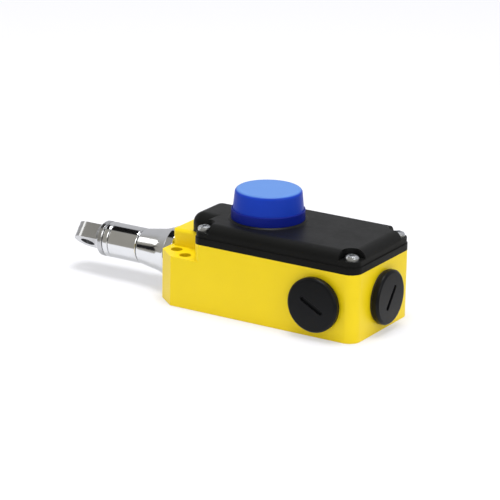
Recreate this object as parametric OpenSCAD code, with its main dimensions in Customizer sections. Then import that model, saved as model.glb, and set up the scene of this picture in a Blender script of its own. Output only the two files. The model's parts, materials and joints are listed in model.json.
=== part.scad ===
// Rope pull switch: a safety switch that a taut rope trips and a blue button resets.
// The frame's origin lies on the mounting face, at the middle of the housing's footprint.
// +X runs along the housing, away from the rope, and +Z points out through the cover.

/* [Housing] */
// Width of the housing across the rope
housing_w = 50; // [46:0.5:60]
// Length of the box under the cover
main_len = 82; // [78:0.5:110]
// Length of the ears and the neck that carry the rod
neck_len = 20; // [18:0.5:30]
// Height of the parting plane between housing and cover
housing_h = 30.6; // [30:0.2:40]
// Height of the two mounting ears
ear_h = 22.8; // [12:0.2:26]
// Width of the neck round the rod
neck_w = 20.4; // [19:0.2:23]
// Radius along the neck's upper edges
neck_edge_r = 2; // [1:0.1:3]
// Height of the low seat on the neck, under the cover's tongue
seat_h = 0.7; // [0.4:0.1:1]
// Thickness of the housing's side walls
wall = 4; // [3.5:0.1:5]
// Thickness of the housing's floor
floor_t = 3; // [2.5:0.1:4]
// Radius of the box's upright corners at the plain end
corner_r = 5.5; // [4:0.1:7]
// Radius of the box's upright corners at the rope end
rope_corner_r = 4; // [3.8:0.1:7]
// Ear's corner chamfer, along the rope
ear_chamfer_x = 9; // [4:0.1:10]
// Ear's corner chamfer, across the rope
ear_chamfer_y = 7.5; // [3:0.1:8]
// Diameter of the mounting holes
mount_d = 5.3; // [4.3:0.1:5.5]
// Pitch of the pair of holes nearer the end
outer_pitch = 30; // [28:0.5:32]
// Pitch of the pair of holes nearer the cover
inner_pitch = 40; // [38:0.5:41]
// Distance of the outer pair from the housing's end
outer_inset = 5.8; // [5:0.1:7]
// Distance of the inner pair from the housing's end
inner_inset = 13.5; // [12:0.1:14]

/* [Conduit entries] */
// Height of the conduit entries and their plugs
entry_z = 15.3; // [15:0.1:17]
// Distance of the side entries from the housing's plain end
entry_inset = 19; // [18.5:0.1:20]
// Thread diameter of the conduit entries
entry_d = 20; // [18:0.5:20]
// Depth of the entry bosses, from the outer face
entry_depth = 8; // [7:0.2:9]
// Diameter of the plugs' heads
plug_head_d = 24.4; // [22:0.2:25]
// Thickness of the plugs' heads
plug_head_t = 3.3; // [2:0.1:3.6]
// Width of the bevel round the plugs' heads
plug_bevel_w = 1; // [0.5:0.1:2]
// Height of the bevel round the plugs' heads
plug_bevel_h = 0.9; // [0.5:0.1:1.5]
// Thickness of the flat seal under each plug
plug_seal_t = 0.8; // [0.5:0.1:1.5]
// Length of the plugs' coin slots
slot_len = 12; // [9:0.2:15]
// Width of the plugs' coin slots
slot_w = 2; // [1.2:0.1:2.6]
// Depth of the plugs' coin slots
slot_depth = 1.1; // [0.6:0.1:1.4]

/* [Cover] */
// Height of the cover above the parting plane
cover_h = 9.5; // [9:0.1:12]
// Thickness of the cover's side walls
cover_wall = 3.1; // [2.8:0.1:3.5]
// Thickness of the cover's top
cover_top_t = 3; // [2.6:0.1:3.4]
// Radius round the cover's top edge
cover_edge_r = 4.4; // [2:0.1:5]
// Length of the cover's tongue over the neck
tongue_len = 9.7; // [8:0.1:12]
// Width of the cover's tongue
tongue_w = 24.4; // [22:0.1:26]
// Rounding of the tongue's free corners and upper edges
tongue_edge_r = 5.2; // [2:0.1:5.4]
// Height of the slightly proud band at the cover's foot
lip_h = 3; // [2:0.1:4]
// How far that band stands proud of the wall above it
lip_out = 0.4; // [0.2:0.1:0.8]
// Distance of the cover screws from the box's sides and its plain end
screw_inset = 4.7; // [4.5:0.1:5.2]
// Distance of the cover screws from the box's rope end
rope_screw_inset = 3.7; // [3.6:0.1:5.2]
// Radius of the pockets round the cover screws
pocket_r = 4.3; // [3.6:0.1:4.6]
// Depth of the pockets below the cover's top
pocket_depth = 3.9; // [3.4:0.1:4.4]
// Thread diameter of the cover screws
screw_d = 3; // [2.5:0.1:3.5]
// Head diameter of the cover screws
screw_head_d = 6.2; // [5.6:0.1:7]
// Head height of the cover screws
screw_head_h = 2.2; // [1.8:0.1:2.6]
// Length of the cover screws under the head
screw_len = 16; // [12:0.5:20]
// Section of the square cover gasket
gasket_t = 1.1; // [0.9:0.1:1.2]

/* [Reset button] */
// Distance of the button from the housing's plain end
button_inset = 58.4; // [56:0.1:60]
// Diameter of the cap at its foot
cap_d = 31.4; // [28:0.1:31.6]
// Diameter of the cap at its top edge
cap_top_d = 29.8; // [26:0.1:30]
// Height of the cap's top above the cover
cap_rise = 13.7; // [12.5:0.1:16]
// Radius round the cap's top edge
cap_edge_r = 1.8; // [0.8:0.1:2.4]
// Wall thickness of the cap
cap_wall = 2.2; // [1.6:0.1:2.6]
// Travel of the button
reset_travel = 3; // [2:0.1:3]
// Outer diameter of the bezel ring
bezel_d = 32.6; // [32.6:0.1:34]
// Height of the bezel ring above the cover
bezel_h = 4.9; // [4.8:0.1:5.5]
// Height of the low ring on the cover round the bezel
bezel_ring_h = 0.5; // [0.3:0.1:1]
// Width of that ring at its foot
bezel_ring_w = 1.3; // [1:0.1:2]
// Thickness of the bezel's base
bezel_base_t = 1; // [0.8:0.1:1.2]
// Diameter of the reset stem
stem_d = 6; // [5:0.1:7]
// Wire diameter of the button's return spring
cap_wire = 1.2; // [0.8:0.1:1.4]

/* [Pull rod] */
// Height of the rod's axis above the mounting face
rod_z = 15.5; // [15.3:0.1:16]
// Diameter of the pull shaft
shaft_d = 10; // [9:0.1:10]
// Travel of the rod from rest to its stop
pull_travel = 10; // [6:0.5:10]
// Distance of the guide sleeve's free end from the housing
sleeve_len = 21; // [18:0.1:26]
// Diameter of the sleeve's cylinder against the housing
sleeve_flange_d = 24.6; // [22:0.1:26]
// Length of that cylinder
sleeve_flange_len = 4.3; // [2:0.1:6]
// Diameter where the sleeve's two tapers meet
sleeve_waist_d = 20; // [18:0.1:21]
// Distance of that meeting line from the housing
sleeve_waist_len = 9.4; // [8:0.1:12]
// Diameter of the sleeve's thread in the neck
sleeve_thread_d = 16; // [14.5:0.1:16.4]
// Length of the sleeve's thread in the neck
sleeve_thread_len = 11; // [8:0.2:12]
// Outer diameter of the barrel and the swivel
barrel_d = 16.2; // [15.4:0.1:17]
// Length of the barrel
barrel_len = 15.1; // [14:0.1:22]
// Length of the swivel ring
swivel_ring_len = 2.8; // [2:0.1:4]
// Length of the eye's cylindrical collar
collar_len = 2.2; // [1.5:0.1:4]
// Length of the eye's cone
cone_len = 2; // [1.5:0.1:6]
// Width of the eye's tongue, and the diameter of its round tip
eye_d = 12.8; // [11:0.1:13.6]
// Thickness of the tongue across its flats
eye_t = 7.4; // [6:0.1:9]
// Length of the tongue from the cone to the tip
eye_len = 13.3; // [11:0.1:16]
// Diameter of the rope hole
eye_hole_d = 6.6; // [5:0.1:7]
// Roll of the eye about the rod at rest, in degrees
eye_roll = 51; // [0:1:90]
// Diameter of the eye's shank in the barrel
shank_d = 8; // [7:0.1:8]
// Wire diameter of the main return spring
main_wire = 1.8; // [1.4:0.1:1.8]

/* [Mechanism] */
// Length of the cam carriage
carriage_len = 23; // [22:0.1:26]
// Height and least width of the cam carriage
carriage_h = 12; // [11:0.1:12.4]
// Least width of the cam carriage
carriage_w = 11; // [10:0.1:11.2]
// Sideways lift of a plunger for each millimetre of pull
ramp = 0.25; // [0.15:0.01:0.25]
// Distance of the plungers' axis from the button's axis
plunger_ahead = 15.9; // [15.4:0.1:16.2]
// Diameter of the contact plungers
plunger_d = 3; // [2.6:0.1:3.2]
// Distance of the latch pin from the button's axis
latch_arm = 8.4; // [8:0.1:9]
// Height of the latch pin's axis
latch_z = 26.5; // [26.3:0.1:27]
// Diameter of the latch pin
latch_pin_d = 3; // [2.5:0.1:3]
// Width of the latch lever
latch_w = 5.2; // [4:0.1:6]
// Length of a contact block along the rope
block_len = 18; // [17:0.1:18.4]
// Thickness of the chassis plate
chassis_t = 1.5; // [1.2:0.1:1.6]
// Height of the pads under the chassis plate
pad_h = 2; // [1.8:0.1:2.4]

/* [Fits] */
// Radial clearance of turning, sliding and seated round fits
fit = 0.05; // [0.02:0.01:0.08]
// Gap between faces that only come near each other
gap = 0.3; // [0.25:0.05:0.4]

/* [Hidden] */
$fn = 96;
eps = 0.01;

// Housing stations along the rope
x_end = (main_len + neck_len) / 2;
x_far = -x_end;
x_main = x_end - main_len;
half_w = housing_w / 2;
x_inner = x_main + wall;
neck_corner_r = 3;

// Cover
cover_top = housing_h + cover_h;
ceiling_z = cover_top - cover_top_t;
shelf_z = cover_top - pocket_depth;
screw_y = half_w - screw_inset;
screw_x1 = x_end - screw_inset;
screw_x0 = x_main + rope_screw_inset;
pillar_r = screw_inset - 0.2;
post_r = pocket_r + 2;
gasket_mid = 1.4;
tongue_x0 = x_main - tongue_len;
tongue_foot = housing_h + seat_h;

// Conduit entries
entry_x = x_end - entry_inset;
entry_boss_r = entry_d / 2 + 2.5;

// Reset button
button_x = x_end - button_inset;
cap_top_z = cover_top + cap_rise;
cap_foot_z = cover_top + bezel_base_t + reset_travel + gap;
cap_ceiling_z = cap_top_z - 2.5;
bezel_bore_r = cap_d / 2 + 2 * fit;
stem_r = stem_d / 2;
socket_r = stem_r + 2;
stem_guide_r = 8.9;
boss_foot_z = housing_h + 3;
clip_t = 0.7;

// Pull rod, from the housing outwards along -X
shaft_r = shaft_d / 2;
x_sleeve = x_far - sleeve_len;
x_barrel = x_sleeve - gap;
x_barrel_end = x_barrel - barrel_len;
x_ring = x_barrel_end - 0.2;
x_ring_end = x_ring - swivel_ring_len;
x_collar = x_ring_end - gap;
x_cone = x_collar - collar_len;
x_tongue = x_cone - cone_len;
x_tip = x_tongue - eye_len;
eye_r = eye_d / 2;
tip_r = eye_r;
hole_x = x_tip + tip_r;
shaft_socket = 6.8;
x_shaft_out = x_barrel - shaft_socket;
nut_len = 3.4;
barrel_wall = 3.6;
x_nut = x_barrel_end + barrel_wall + gap;

// Mechanism
bush_flange_t = 1.5;
bush_len = neck_len + wall - sleeve_thread_len - 1;
x_bush_face = x_inner + bush_flange_t;
x_carriage = button_x + 4.4;
washer_t = 1.2;
x_washer = x_carriage - washer_t;
x_carriage_end = x_carriage + carriage_len;
shaft_thread_r = shaft_r - 1;
shaft_nut_t = 5;
spring_mean_r = shaft_r + 0.2 + main_wire / 2;
plunger_x = button_x + plunger_ahead;
plunger_r = plunger_d / 2;
carriage_top = rod_z + carriage_h / 2;
tip_y = carriage_w / 2 + (plunger_r + gap) / cos(atan(ramp)) + 0.05;
plate_z = floor_t + pad_h;
deck_z = plate_z + chassis_t;
bracket_y = carriage_w / 2 + 1.8;
bracket_t = 1.3;
block_y0 = bracket_y + bracket_t + gap;
block_y1 = half_w - wall - 0.8;
block_x0 = plunger_x - block_len / 2;
block_x1 = plunger_x + block_len / 2;
block_top = rod_z + 11;
block_wall = 2;
cavity_top = rod_z + 6;
contact_y0 = block_y0 + block_wall + 1.2;
contact_y1 = contact_y0 + 1;
bridge_y0 = contact_y1 + gap;
bridge_t = 1;
strip_w = 3;
strip_off = 3.7;
strip_t = 0.8;
latch_x = button_x + latch_arm;
latch_t = 2;
latch_top = latch_z + latch_t - 0.2;
nose_x = latch_x + 4.8;
nose_w = 2.5;
stem_tip_r = 2;
stem_tip_z = latch_top + gap + 0.05;
hub_r = latch_pin_d / 2 + 1.5;
chassis_x0 = x_inner + 7;
chassis_x1 = block_x1 + 0.5;
chassis_screw_x = chassis_x0 + 5;
chassis_screw_y = half_w - wall - 7;
centre_screw_x = plunger_x + 5.5;
rivet_x = latch_x - 0.3;
earth_x = entry_x - 1;

// ---------- helpers ----------

// A plan rectangle whose four corners have radius r
module round_rect(x0, x1, y0, y1, r) {
    translate([x0 + r, y0]) square([x1 - x0 - 2 * r, y1 - y0]);
    translate([x0, y0 + r]) square([x1 - x0, y1 - y0 - 2 * r]);
    for (x = [x0 + r, x1 - r], y = [y0 + r, y1 - r]) translate([x, y]) circle(r);
}

// Plan of the box, or of a shape that lies m inside it all round
module box_plan(m = 0) {
    r0 = rope_corner_r - m;
    r1 = corner_r - m;
    x0 = x_main + m;
    x1 = x_end - m;
    y = half_w - m;
    translate([x0 + r0, -y]) square([x1 - r1 - x0 - r0, 2 * y]);
    translate([x0, r0 - y]) square([main_len / 2, 2 * (y - r0)]);
    translate([x1 - main_len / 2, r1 - y]) square([main_len / 2, 2 * (y - r1)]);
    for (s = [-1, 1]) {
        translate([x0 + r0, s * (y - r0)]) circle(r0);
        translate([x1 - r1, s * (y - r1)]) circle(r1);
    }
}

// A section rectangle whose two upper corners have radius r
module round_top(x0, x1, z0, z1, r) {
    translate([x0, z0]) square([x1 - x0, z1 - z0 - r]);
    translate([x0 + r, z0]) square([x1 - x0 - 2 * r, z1 - z0]);
    for (x = [x0 + r, x1 - r]) translate([x, z1 - r]) circle(r);
}

// Turns a shape that was drawn along Z so that it lies along +X from x
module along_x(x, z = rod_z) {
    translate([x, 0, z]) rotate([0, 90, 0]) children();
}

// A cylinder along +X
module rod_x(x0, x1, r) {
    along_x(x0) cylinder(h = x1 - x0, r = r);
}

// A tube along +X
module tube_x(x0, x1, r, bore) {
    along_x(x0) difference() {
        cylinder(h = x1 - x0, r = r);
        translate([0, 0, -1]) cylinder(h = x1 - x0 + 2, r = bore);
    }
}

// A solid turned about the rod's axis from [x, r] points
module turned_x(points) {
    along_x(0) rotate_extrude() polygon([for (p = points) [p[1], p[0]]]);
}

// A coil spring along +Z: closed rings at both ends and evenly spaced open rings between
module coil(len, mean_r, wire_r, rings) {
    pitch = (len - 2 * wire_r) / (rings - 1);
    for (i = [0 : rings - 1])
        translate([0, 0, wire_r + i * pitch])
            rotate_extrude() translate([mean_r, 0]) circle(wire_r, $fn = 24);
    for (i = [0 : rings - 2], a = [i % 2 * 180])
        rotate([0, 0, a]) translate([mean_r, 0, wire_r + i * pitch])
            cylinder(h = pitch, r = wire_r * 0.7, $fn = 24);
}

// A pan-head screw that points down, with its head seated on z = 0
module pan_screw(d, head_d, head_h, len) {
    difference() {
        union() {
            rotate_extrude() polygon([[0, 0], [head_d / 2, 0], [head_d / 2, head_h * 0.5],
                [head_d * 0.43, head_h * 0.82], [head_d * 0.26, head_h], [0, head_h]]);
            translate([0, 0, -len]) cylinder(h = len + eps, r = d / 2);
        }
        for (a = [0, 90]) rotate([0, 0, a])
            translate([-head_d * 0.27, -head_d * 0.06, head_h * 0.45])
                cube([head_d * 0.54, head_d * 0.12, head_h]);
    }
}

// Places children at the four cover screws
module at_cover_screws() {
    for (x = [screw_x0, screw_x1], y = [-screw_y, screw_y]) translate([x, y, 0]) children();
}

// Places children at the front, end and rear entries, with +Z out of the housing
module at_front_entry() { translate([entry_x, -half_w, entry_z]) rotate([90, 0, 0]) children(); }
module at_end_entry() { translate([x_end, 0, entry_z]) rotate([90, 0, 90]) children(); }
module at_rear_entry() { translate([entry_x, half_w, entry_z]) rotate([-90, 0, 0]) children(); }
module at_entries() {
    at_front_entry() children();
    at_end_entry() children();
    at_rear_entry() children();
}

// Mirrors children to the rear side when side is 1; the front side is -1
module on_side(side) {
    if (side > 0) mirror([0, 1, 0]) children();
    else children();
}

// ---------- housing ----------

// Outline of the ears and the neck's root, with the two chamfered corners
module ear_plan() {
    polygon([[x_far, -half_w + ear_chamfer_y], [x_far + ear_chamfer_x, -half_w],
        [x_main + corner_r, -half_w], [x_main + corner_r, half_w],
        [x_far + ear_chamfer_x, half_w], [x_far, half_w - ear_chamfer_y]]);
}

// Plan of the neck with its two free corners rounded
module neck_plan() {
    r = neck_corner_r;
    translate([x_far + r, -neck_w / 2]) square([neck_len + wall - r, neck_w]);
    translate([x_far, -neck_w / 2 + r]) square([neck_len, neck_w - 2 * r]);
    for (y = [-1, 1]) translate([x_far + r, y * (neck_w / 2 - r)]) circle(r);
}

// The neck: rounded upper edges, fillets at the box and the low seat for the tongue
module neck() {
    r = neck_corner_r;
    intersection() {
        linear_extrude(housing_h) neck_plan();
        translate([x_far, 0, 0]) rotate([90, 0, 90]) linear_extrude(neck_len + wall)
            round_top(-neck_w / 2, neck_w / 2, 0, housing_h, neck_edge_r);
        translate([0, neck_w / 2, 0]) rotate([90, 0, 0]) linear_extrude(neck_w)
            round_top(x_far, x_inner + neck_edge_r, 0, housing_h, neck_edge_r);
    }
    linear_extrude(housing_h - neck_edge_r) for (y = [-1, 1]) difference() {
        translate([x_main - r, y > 0 ? neck_w / 2 : -neck_w / 2 - r]) square([r + eps, r]);
        translate([x_main - r, y * (neck_w / 2 + r)]) circle(r);
    }
    seat_y = neck_w / 2 - neck_edge_r - 0.2;
    translate([0, 0, housing_h - neck_edge_r]) linear_extrude(neck_edge_r + seat_h)
        round_rect(tongue_x0 + 2, x_main - gap, -seat_y, seat_y, 1.5);
}

// The hollow inside the box, without its pillars and bosses
module housing_hollow() {
    translate([0, 0, floor_t]) linear_extrude(housing_h)
        round_rect(x_inner, x_end - wall, -half_w + wall, half_w - wall, 2.5);
}

module housing() {
    color([0.93, 0.80, 0.13]) difference() {
        union() {
            difference() {
                union() {
                    linear_extrude(housing_h) box_plan();
                    linear_extrude(ear_h) ear_plan();
                    neck();
                }
                housing_hollow();
            }
            intersection() {
                at_cover_screws() cylinder(h = housing_h, r = pillar_r);
                linear_extrude(housing_h) box_plan();
            }
            intersection() {
                at_entries() translate([0, 0, -entry_depth])
                    cylinder(h = entry_depth - 1, r = entry_boss_r);
                translate([x_main + 1, -half_w + 1, 1])
                    cube([main_len - 2, housing_w - 2, housing_h - 1]);
            }
            for (y = [-1, 1]) translate([chassis_screw_x, y * chassis_screw_y, 1])
                cylinder(h = plate_z - 1, r = 4);
            translate([centre_screw_x, 0, 1]) cylinder(h = plate_z - 1, r = 4);
            translate([earth_x, 0, 1]) cylinder(h = plate_z, r = 5);
        }
        // Bores along the rod
        rod_x(x_far - 1, x_far + sleeve_thread_len + 0.5, sleeve_thread_d / 2);
        rod_x(x_far, x_inner + 1, shaft_r + 2);
        // Conduit entries
        at_entries() translate([0, 0, -entry_depth - 1])
            cylinder(h = entry_depth + 2, r = entry_d / 2 + fit);
        // Mounting holes through the ears
        for (y = [-1, 1]) {
            translate([x_far + outer_inset, y * outer_pitch / 2, -1])
                cylinder(h = ear_h + 2, r = mount_d / 2);
            translate([x_far + inner_inset, y * inner_pitch / 2, -1])
                cylinder(h = ear_h + 2, r = mount_d / 2);
        }
        // Screw holes
        at_cover_screws() translate([0, 0, shelf_z - screw_len - 1])
            cylinder(h = screw_len + 2, r = screw_d / 2 + fit);
        for (y = [-1, 1]) translate([chassis_screw_x, y * chassis_screw_y, 1.2])
            cylinder(h = plate_z, r = 1.5 + fit);
        translate([centre_screw_x, 0, 1.2]) cylinder(h = plate_z, r = 1.5 + fit);
        translate([earth_x, 0, 1.2]) cylinder(h = plate_z + 2, r = 2 + fit);
    }
}

// ---------- cover ----------

// The cover's outer form: the box part and the tongue, both with a rounded top edge
module cover_form() {
    x0 = x_main + lip_out;
    x1 = x_end - lip_out;
    y1 = half_w - lip_out;
    intersection() {
        translate([0, 0, housing_h]) linear_extrude(cover_h) box_plan(lip_out);
        translate([x0, 0, 0]) rotate([90, 0, 90]) linear_extrude(x1 - x0)
            round_top(-y1, y1, housing_h, cover_top, cover_edge_r);
        translate([0, y1, 0]) rotate([90, 0, 0]) linear_extrude(2 * y1)
            round_top(x0, x1, housing_h, cover_top, cover_edge_r);
    }
    translate([0, 0, housing_h]) linear_extrude(lip_h) box_plan();
    tongue_form();
}

// The tongue: a block whose upper edges and free corners are all rounded alike
module tongue_form() {
    r = tongue_edge_r;
    x = tongue_x0 + r;
    y = tongue_w / 2 - r;
    z = cover_top - r;
    run = x_main + 2 * corner_r - x;
    translate([0, 0, tongue_foot]) linear_extrude(z - tongue_foot)
        round_rect(tongue_x0, x + run, -y - r, y + r, r);
    translate([x, -y, tongue_foot]) cube([run, 2 * y, cover_top - tongue_foot]);
    intersection() {
        translate([tongue_x0 - 1, -tongue_w, tongue_foot]) cube([run + r + 1, 2 * tongue_w, 2 * r]);
        union() {
            translate([x, y, z]) rotate([90, 0, 0]) cylinder(h = 2 * y, r = r);
            for (s = [-1, 1]) translate([x, s * y, z]) {
                sphere(r);
                rotate([0, 90, 0]) cylinder(h = run, r = r);
            }
        }
    }
}

// The pocket of one cover screw, open to both faces of its corner
module screw_pocket(sx, sy) {
    reach = screw_inset + 2;
    cylinder(h = cover_h, r = pocket_r);
    translate([sx > 0 ? 0 : -reach, -pocket_r, 0]) cube([reach, 2 * pocket_r, cover_h]);
    translate([-pocket_r, sy > 0 ? 0 : -reach, 0]) cube([2 * pocket_r, reach, cover_h]);
    translate([sx > 0 ? 0 : -reach, sy > 0 ? 0 : -reach, 0]) cube([reach, reach, cover_h]);
}

// The hollow under the cover's top, with solid posts left round the screws
module cover_hollow() {
    difference() {
        translate([0, 0, housing_h - 1]) linear_extrude(ceiling_z - housing_h + 1)
            round_rect(x_main + cover_wall + lip_out, x_end - cover_wall - lip_out,
                -half_w + cover_wall + lip_out, half_w - cover_wall - lip_out, 2);
        at_cover_screws() cylinder(h = cover_top, r = post_r);
        translate([button_x, 0, boss_foot_z]) cylinder(h = cover_top, r = 7);
    }
    // The tongue's own hollow, open towards the neck and clear of its rounded corners
    inset = cover_wall + 0.2 * tongue_edge_r;
    translate([tongue_x0 + inset, inset - tongue_w / 2, 0])
        cube([tongue_len - inset, tongue_w - 2 * inset, ceiling_z]);
}

// The ring groove that holds the gasket, or the gasket itself at a smaller section
module gasket_ring(w, h) {
    m = gasket_mid - w / 2;
    n = gasket_mid + w / 2;
    translate([0, 0, housing_h]) linear_extrude(h) difference() {
        box_plan(m);
        box_plan(n);
    }
}

// The low ring that the bezel stands in
module bezel_ring() {
    r = bezel_d / 2 + fit;
    translate([button_x, 0, cover_top]) rotate_extrude() polygon([[r, -1],
        [r + bezel_ring_w, -1], [r + bezel_ring_w, 0], [r + bezel_ring_w / 2, bezel_ring_h],
        [r, bezel_ring_h]]);
}

module cover() {
    color([0.10, 0.10, 0.10]) difference() {
        union() {
            difference() {
                cover_form();
                cover_hollow();
            }
            translate([button_x, 0, cover_top - 1])
                cylinder(h = 1 + bezel_base_t, r = stem_guide_r);
            bezel_ring();
        }
        for (x = [screw_x0, screw_x1], y = [-screw_y, screw_y])
            translate([x, y, shelf_z]) screw_pocket(x > 0 ? 1 : -1, y);
        at_cover_screws() translate([0, 0, housing_h - 1])
            cylinder(h = cover_h + 2, r = screw_d / 2 + fit);
        translate([0, 0, -eps]) gasket_ring(gasket_t + 0.1, gasket_t + 0.1);
        translate([button_x, 0, housing_h]) cylinder(h = cover_h + 4, r = stem_r + fit);
        translate([button_x, 0, ceiling_z]) cylinder(h = 2, r = stem_r + 1.7);
    }
}

module cover_gasket() {
    color([0.15, 0.15, 0.15]) gasket_ring(gasket_t, gasket_t);
}

module cover_screws() {
    color([0.8, 0.8, 0.8]) at_cover_screws()
        translate([0, 0, shelf_z]) pan_screw(screw_d, screw_head_d, screw_head_h, screw_len);
}

// ---------- conduit plugs ----------

// A blanking plug along +Z, with its seal's seat at z = 0 and its slot turned by turn
module plug(turn) {
    head_r = plug_head_d / 2;
    thread_r = entry_d / 2;
    top = plug_seal_t + plug_head_t;
    difference() {
        union() {
            rotate_extrude() polygon([[0, plug_seal_t], [head_r - 0.3, plug_seal_t],
                [head_r, plug_seal_t + 0.3], [head_r, top - plug_bevel_h],
                [head_r - 0.5 * plug_bevel_w, top - 0.35 * plug_bevel_h],
                [head_r - plug_bevel_w, top], [0, top]]);
            translate([0, 0, 0.5 - entry_depth])
                cylinder(h = entry_depth + plug_seal_t, r = thread_r);
        }
        translate([0, 0, -entry_depth])
            cylinder(h = entry_depth - 0.6, r = thread_r - 2);
        rotate([0, 0, turn]) translate([0, 0, top - slot_depth]) {
            translate([-slot_len / 2 + slot_w / 2, -slot_w / 2, 0])
                cube([slot_len - slot_w, slot_w, slot_depth + 1]);
            for (s = [-1, 1]) translate([s * (slot_len - slot_w) / 2, 0, 0])
                cylinder(h = slot_depth + 1, r = slot_w / 2);
        }
    }
}

module front_plug() { color([0.12, 0.12, 0.13]) at_front_entry() plug(-28); }
module end_plug() { color([0.12, 0.12, 0.13]) at_end_entry() plug(53); }
module rear_plug() { color([0.12, 0.12, 0.13]) at_rear_entry() plug(-12); }

module plug_seals() {
    color([0.2, 0.2, 0.2]) at_entries() difference() {
        cylinder(h = plug_seal_t, r = plug_head_d / 2 - 0.7);
        translate([0, 0, -1]) cylinder(h = plug_seal_t + 2, r = entry_d / 2 + fit);
    }
}

// ---------- reset button ----------

module reset_bezel() {
    foot = bezel_d / 2;
    color([0.09, 0.13, 0.47]) translate([button_x, 0, cover_top]) rotate_extrude()
        polygon([[stem_guide_r + fit, 0], [foot, 0], [foot, bezel_h - 0.4],
            [foot - 0.3, bezel_h], [bezel_bore_r, bezel_h], [bezel_bore_r, bezel_base_t],
            [stem_guide_r + fit, bezel_base_t]]);
}

module reset_cap() {
    top_r = cap_top_d / 2;
    color([0.14, 0.27, 0.78]) translate([button_x, 0, 0]) rotate_extrude() {
        difference() {
            union() {
                polygon([[0, cap_foot_z], [cap_d / 2, cap_foot_z],
                    [top_r, cap_top_z - cap_edge_r], [top_r - cap_edge_r, cap_top_z],
                    [0, cap_top_z]]);
                intersection() {
                    translate([top_r - cap_edge_r, cap_top_z - cap_edge_r]) circle(cap_edge_r);
                    square([cap_d, cap_top_z + 1]);
                }
            }
            translate([0, cap_foot_z - 1])
                square([cap_top_d / 2 - cap_wall, cap_ceiling_z - cap_foot_z + 1]);
        }
        translate([stem_r + fit, cap_foot_z + 0.2])
            square([socket_r - stem_r - fit, cap_ceiling_z - cap_foot_z]);
    }
}

module reset_stem() {
    color([0.75, 0.75, 0.77]) translate([button_x, 0, 0]) difference() {
        union() {
            translate([0, 0, stem_tip_z + stem_tip_r])
                cylinder(h = cap_ceiling_z - stem_tip_z - stem_tip_r, r = stem_r);
            translate([0, 0, stem_tip_z + stem_tip_r]) sphere(stem_tip_r);
        }
        translate([0, 0, boss_foot_z - gap - clip_t]) difference() {
            cylinder(h = clip_t, r = stem_r + 1);
            translate([0, 0, -1]) cylinder(h = clip_t + 2, r = stem_r - 0.6);
        }
    }
}

module stem_seal() {
    r = 0.8;
    color([0.2, 0.2, 0.2]) translate([button_x, 0, ceiling_z + 1])
        rotate_extrude() translate([stem_r + fit + r, 0]) circle(r, $fn = 32);
}

module stem_clip() {
    color([0.5, 0.5, 0.52]) translate([button_x, 0, boss_foot_z - gap - clip_t + 0.02])
        difference() {
            cylinder(h = clip_t - 0.04, r = stem_r + 1.6);
            translate([0, 0, -1]) cylinder(h = clip_t + 2, r = stem_r - 0.55);
            translate([-1.4, 0, -1]) cube([2.8, stem_r + 3, clip_t + 2]);
        }
}

module cap_spring() {
    foot = cover_top + bezel_base_t;
    color([0.7, 0.7, 0.72]) translate([button_x, 0, foot])
        coil(cap_ceiling_z - foot, socket_r + 0.3 + cap_wire / 2, cap_wire / 2, 5);
}

// ---------- pull rod ----------

module guide_sleeve() {
    r = barrel_d / 2;
    flange_r = sleeve_flange_d / 2;
    seal_r = shaft_r + 2;
    color([0.85, 0.86, 0.88]) difference() {
        union() {
            turned_x([[x_sleeve, 0], [x_sleeve, r - 0.4], [x_sleeve + 0.5, r],
                [x_far - sleeve_waist_len, sleeve_waist_d / 2],
                [x_far - sleeve_flange_len, flange_r - 0.3],
                [x_far - sleeve_flange_len + 0.4, flange_r],
                [x_far - 0.5, flange_r], [x_far, flange_r - 0.5], [x_far, 0]]);
            rod_x(x_far - 1, x_far + sleeve_thread_len, sleeve_thread_d / 2 - fit);
        }
        rod_x(x_sleeve - 1, x_far + sleeve_thread_len + 1, shaft_r + fit);
        rod_x(x_sleeve - 1, x_sleeve + 3.3, seal_r);
    }
}

module rod_wiper() {
    color([0.13, 0.13, 0.13])
        tube_x(x_sleeve + 0.5, x_sleeve + 3.3, shaft_r + 2 - fit, shaft_r + fit);
}

module guide_bush() {
    color([0.72, 0.55, 0.28]) {
        turned_x([[x_inner - bush_len, shaft_r + fit], [x_inner - bush_len, shaft_r + 2 - fit],
            [x_inner, shaft_r + 2 - fit], [x_inner, shaft_r + 2.4],
            [x_bush_face, shaft_r + 2.4], [x_bush_face, shaft_r + fit]]);
    }
}

module pull_shaft() {
    x_thread_end = x_carriage_end + shaft_nut_t + 1.5;
    color([0.78, 0.78, 0.8]) turned_x([[x_shaft_out, 0], [x_shaft_out, shaft_r - 0.5],
        [x_shaft_out + 0.5, shaft_r], [x_carriage, shaft_r], [x_carriage, shaft_thread_r],
        [x_thread_end - 0.6, shaft_thread_r], [x_thread_end, shaft_thread_r - 0.6],
        [x_thread_end, 0]]);
}

module barrel() {
    r = barrel_d / 2;
    color([0.85, 0.86, 0.88]) difference() {
        turned_x([[x_barrel_end, 0], [x_barrel_end, r - 0.5], [x_barrel_end + 0.5, r],
            [x_barrel - 0.5, r], [x_barrel, r - 0.5], [x_barrel, 0]]);
        rod_x(x_barrel_end - 1, x_barrel + 1, shank_d / 2 + fit);
        rod_x(x_shaft_out, x_barrel + 1, shaft_r + fit);
        rod_x(x_barrel_end + barrel_wall, x_shaft_out + eps, 6.5);
    }
}

module swivel_ring() {
    r = barrel_d / 2;
    color([0.82, 0.83, 0.85]) difference() {
        turned_x([[x_ring_end, 0], [x_ring_end, r - 0.5], [x_ring_end + 0.5, r],
            [x_ring - 0.5, r], [x_ring, r - 0.5], [x_ring, 0]]);
        rod_x(x_ring_end - 1, x_ring + 1, shank_d / 2 + fit);
    }
}

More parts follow.
